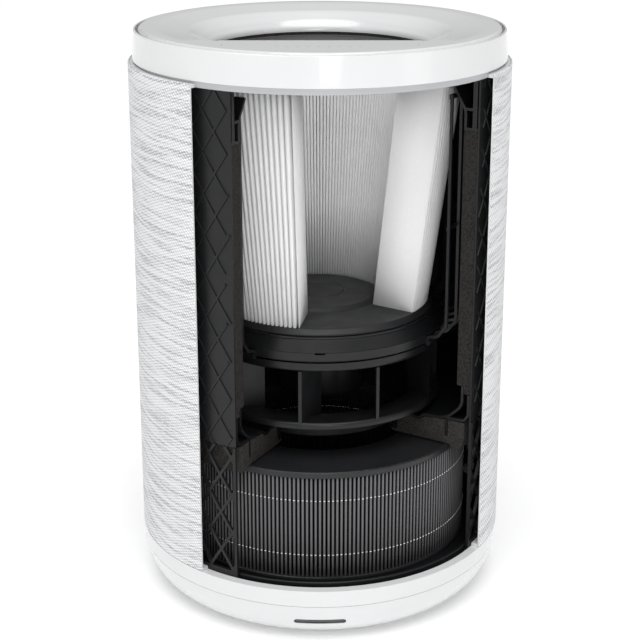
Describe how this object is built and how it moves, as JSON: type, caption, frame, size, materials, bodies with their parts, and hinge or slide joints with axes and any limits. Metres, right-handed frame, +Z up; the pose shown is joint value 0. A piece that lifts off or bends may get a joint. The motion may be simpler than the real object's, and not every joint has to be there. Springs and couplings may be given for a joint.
{
  "type": "air purifier",
  "caption": "Round floor-standing air purifier, cut open at the front to show the foam duct, conical upper filter, centrifugal fan and pleated lower filter.",
  "frame": {"origin": "centre of the circle that the feet stand on, on the floor", "axes": "+Z up along the body's axis, -Y to the front with the vent slot and the cut window, +X to the right seen from the front"},
  "size_m": [0.34, 0.3399, 0.5223],
  "materials": {
    "white_gloss": "glossy white ABS",
    "white_satin": "satin white plastic",
    "light_grey": "satin light grey plastic",
    "charcoal": "satin black plastic",
    "dark_grey": "satin dark grey plastic",
    "fabric_white": "woven heathered polyester",
    "foam": "open-cell acoustic foam",
    "media_white": "pleated glass-fibre paper",
    "media_dark": "pleated carbon-loaded paper",
    "rubber_grey": "soft elastomer",
    "lamination": "stamped steel",
    "steel": "ground steel",
    "copper": "enamelled copper wire",
    "ferrite": "bonded ferrite",
    "board_green": "solder-masked laminate",
    "smoke_window": "smoked plastic lens"
  },
  "bodies": {
    "chassis": {"base_ring": "white_gloss", "power_socket": "charcoal", "shell_lattice": "charcoal", "shell_wall": "charcoal", "fabric_sleeve": "fabric_white", "sleeve_top_hoop": "white_satin", "sleeve_bottom_hoop": "white_satin", "foam_liner": "foam", "top_frame": "charcoal", "frame_screws": "steel", "top_collar": "light_grey", "lid_ring": "white_gloss", "cage_ribs": "charcoal", "cage_hoops": "charcoal", "motor_pan": "charcoal", "pan_cover": "charcoal", "drive_board": "board_green", "bearing_carrier": "charcoal", "motor_bearings": "steel", "motor_stator": "lamination", "motor_coils": "copper", "motor_screws": "steel", "fan_deck": "charcoal", "deck_seal": "foam"},
    "impeller": {"impeller_backplate": "charcoal", "impeller_blades": "charcoal", "impeller_shroud": "charcoal", "rotor_cup": "lamination", "rotor_magnets": "ferrite", "rotor_shaft": "steel", "shaft_clip": "steel"},
    "upper_filter": {"upper_media": "media_white", "upper_base_cap": "dark_grey", "upper_top_cap": "dark_grey", "upper_seal": "foam"},
    "lid": {"lid_disc": "white_gloss", "outlet_grille": "dark_grey", "touch_panel": "smoke_window", "control_board": "board_green", "board_screws": "steel", "lid_seal": "foam"},
    "lower_filter": {"lower_media": "media_dark", "lower_top_cap": "dark_grey", "lower_bottom_cap": "dark_grey", "lower_inner_mesh": "dark_grey"},
    "base_cover": {"base_bowl": "white_gloss", "rubber_feet": "rubber_grey", "sensor_window": "smoke_window", "sensor_module": "charcoal", "floor_tray": "charcoal", "tray_screws": "steel"}
  },
  "joints": [
    {"name": "impeller_spin", "type": "hinge", "parent": "chassis", "child": "impeller", "pos_m": [0, 0, 0.22], "axis": [0, 0, 1], "continuous": true},
    {"name": "upper_filter_lift", "type": "slide", "parent": "chassis", "child": "upper_filter", "axis": [0, 0, 1], "range_m": [0, 0.24]},
    {"name": "lid_lift", "type": "slide", "parent": "upper_filter", "child": "lid", "axis": [0, 0, 1], "range_m": [0, 0.06]},
    {"name": "lower_filter_drop", "type": "slide", "parent": "chassis", "child": "lower_filter", "axis": [0, 0, -1], "range_m": [0, 0.16]},
    {"name": "base_cover_drop", "type": "slide", "parent": "lower_filter", "child": "base_cover", "axis": [0, 0, -1], "range_m": [0, 0.05]}
  ]
}
